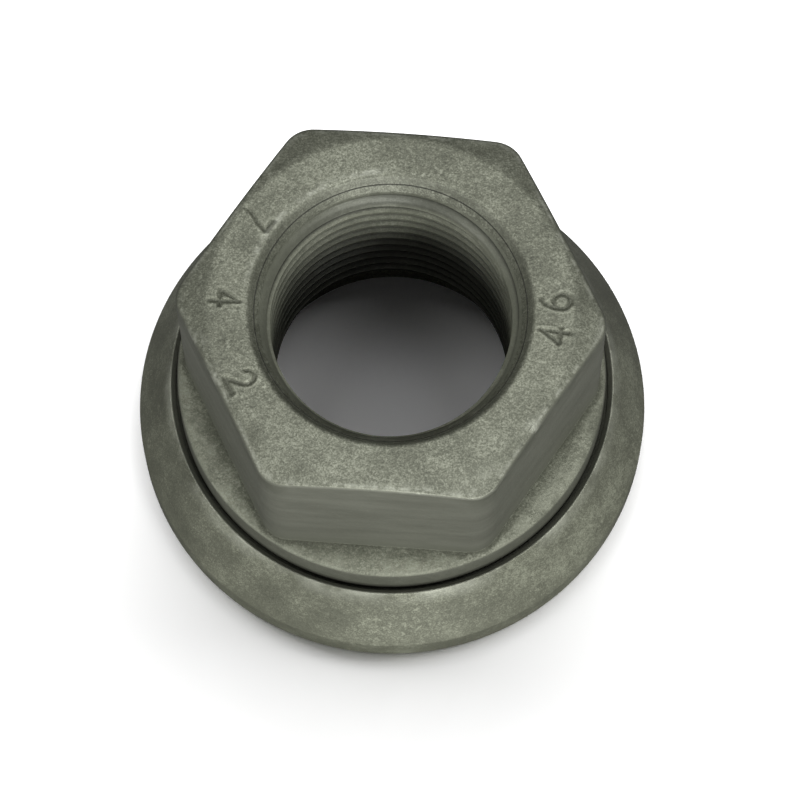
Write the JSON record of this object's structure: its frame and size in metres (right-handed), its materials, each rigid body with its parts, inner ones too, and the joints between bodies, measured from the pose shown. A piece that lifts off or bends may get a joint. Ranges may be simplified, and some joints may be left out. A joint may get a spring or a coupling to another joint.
{
  "type": "flanged wheel nut",
  "caption": "Hexagonal steel wheel nut with a round collar and a loose conical pressure washer held captive on its flared neck.",
  "frame": {"origin": "centre of the washer's bearing face, on the thread's axis", "axes": "+Z along the thread's axis, from the bearing face towards the hexagon's top face; two flats of the hexagon face -Y and +Y"},
  "size_m": [0.045, 0.045, 0.027],
  "materials": {
    "nut_steel": "matte grey-green phosphate coat, slightly worn on the edges",
    "washer_steel": "matte grey-green phosphate coat"
  },
  "bodies": {
    "nut": {"nut_body": "nut_steel"},
    "washer": {"captive_washer": "washer_steel"}
  },
  "joints": [
    {"name": "washer_swivel", "type": "hinge", "parent": "nut", "child": "washer", "pos_m": [0, 0, 0.004], "axis": [0, 0, 1], "continuous": true}
  ]
}
